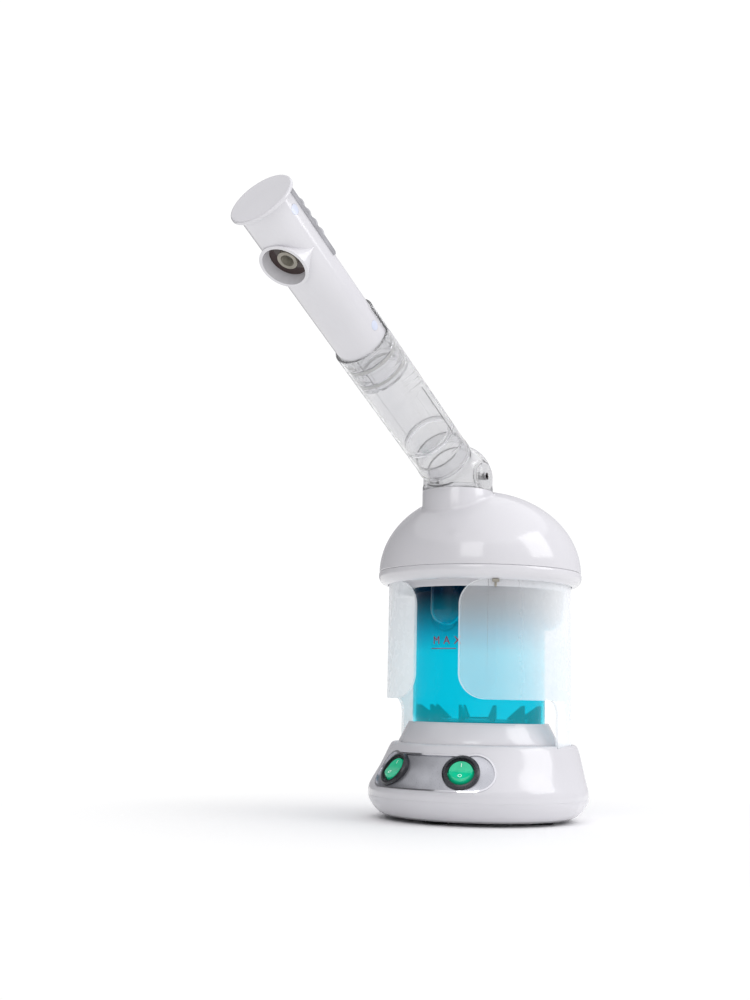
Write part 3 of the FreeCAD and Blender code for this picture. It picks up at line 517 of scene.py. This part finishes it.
def makeFillMark(s):
    # flat letters and a line, wrapped on the tank: x along the arc, y up
    curve = bpy.data.curves.new("fillMark", "FONT")
    curve.body = "MAX"
    curve.size = s["letter"] / 0.69 * mm
    curve.space_character = 1.75
    curve.extrude = s["thick"] / 2 * mm
    text = bpy.data.objects.new("fillMarkText", curve)
    bpy.context.collection.objects.link(text)
    mesh = bpy.data.meshes.new_from_object(text.evaluated_get(bpy.context.evaluated_depsgraph_get()))
    bpy.data.objects.remove(text)
    flat = np.empty(len(mesh.vertices) * 3)
    mesh.vertices.foreach_get("co", flat)
    flat = flat.reshape(-1, 3)
    azimuth = math.radians(s["start"]) + flat[:, 0] / (s["radius"] * mm)
    radius = s["radius"] * mm + flat[:, 2]
    height = flat[:, 1] + s["height"] * mm
    wrapped = np.stack([radius * np.sin(azimuth), -radius * np.cos(azimuth), height], axis=-1)
    mesh.vertices.foreach_set("co", wrapped.ravel())
    mesh.update()
    mesh.materials.clear()
    addPiece("fillMark", mesh, "markInk", "base")
    low, high, level, width = s["line"]
    azimuth = np.radians(np.linspace(low, high, 40))[:, None]
    section = np.array([(0, 0), (s["thick"], 0), (s["thick"], width), (0, width)])
    radius = s["radius"] + section[:, 0][None]
    height = level + section[:, 1][None] + 0 * azimuth
    points = np.stack([radius * np.sin(azimuth), -radius * np.cos(azimuth), height], axis=-1) * mm
    addPiece("fillLine", stripMesh("fillLine", points), "markInk", "base")


def stripMesh(name, points):
    # points[u, v]: sections joined one after another, each section closed, ends capped
    rows, columns = points.shape[:2]
    index = np.arange(rows * columns).reshape(rows, columns)
    ahead = np.roll(index, -1, axis=1)
    sides = np.stack([index[:-1], index[1:], ahead[1:], ahead[:-1]], axis=-1).reshape(-1, columns)
    faces = sides.tolist() + [index[0].tolist(), index[-1][::-1].tolist()]
    mesh = bpy.data.meshes.new(name)
    mesh.from_pydata(points.reshape(-1, 3), [], faces)
    mesh.update()
    return mesh


makeFillMark(fillMark)


# The bar and ring on each rocker: mm and degrees.
rockerSet = dict(slope=33.0, pivot=2.0, throw=10.0, face=1.6, reach=4.3, ring=1.15, line=0.32,
                 bar=1.25, thick=0.05)
jointOf = {joint["child"]: joint for joint in frame["joints"]}


def onPanel(points, body, s):
    # from a rocker's own frame (z out, y up the slope, x along its axle, origin on the panel)
    # to its place on the base, with the rocker pressed by its throw
    joint = jointOf[body]
    along = np.array(joint["axis"], float)
    flat = np.array([along[1], -along[0], 0.0])
    slope = math.radians(s["slope"])
    outward = flat * math.cos(slope) + np.array([0, 0, math.sin(slope)])
    upward = np.array([0, 0, math.cos(slope)]) - flat * math.sin(slope)
    local = points + np.array([0, 0, s["pivot"]])
    local = local @ turnX(math.radians(-s["throw"])).T
    return local @ np.stack([along, upward, outward]) * mm + np.array(joint["pos_m"])


def turnX(angle):
    # rotation matrix about the x axis
    cosine, sine = math.cos(angle), math.sin(angle)
    return np.array([[1, 0, 0], [0, cosine, -sine], [0, sine, cosine]])


def makeRockerMarks(body, s):
    # a bar on the upper face and a ring on the lower one, each a thin band on a tilted face
    for name, sign in (("bar", 1), ("ring", -1)):
        tilt = math.radians(sign * s["throw"])
        if name == "bar":
            half, wide = s["bar"], s["line"] / 2
            path = np.array([(-wide, -half), (wide, -half), (wide, half), (-wide, half)])
            flat = path[None]
        else:
            angle = np.linspace(0, 2 * math.pi, 48, endpoint=False)
            circle = np.stack([np.cos(angle), np.sin(angle)], axis=-1)
            flat = np.stack([circle * (s["ring"] - s["line"] / 2), circle * (s["ring"] + s["line"] / 2)])
        low = np.concatenate([flat, np.zeros_like(flat[..., :1])], axis=-1)
        high = low + np.array([0, 0, s["thick"]])
        if name == "bar":
            points = np.stack([low[0], high[0]])
            mesh = stripMesh(name, placeMark(points, sign, tilt, body, s))
        else:
            points = np.stack([low[0], low[1], high[1], high[0]], axis=1)
            mesh = gridMesh(name, placeMark(points, sign, tilt, body, s))
        addPiece(camelName(f"{body}_{name}"), mesh, "whiteInk", body)


def placeMark(points, sign, tilt, body, s):
    # moved out along the rocker by the reach, tipped with its face, lifted to it, set on the base
    shape = points.shape
    moved = points.reshape(-1, 3) + np.array([0, sign * s["reach"], 0])
    moved = moved @ turnX(tilt).T + np.array([0, 0, s["face"]])
    return onPanel(moved, body, s).reshape(shape)


for key in ("power_key", "ozone_key"):
    makeRockerMarks(key, rockerSet)
print("marks made")
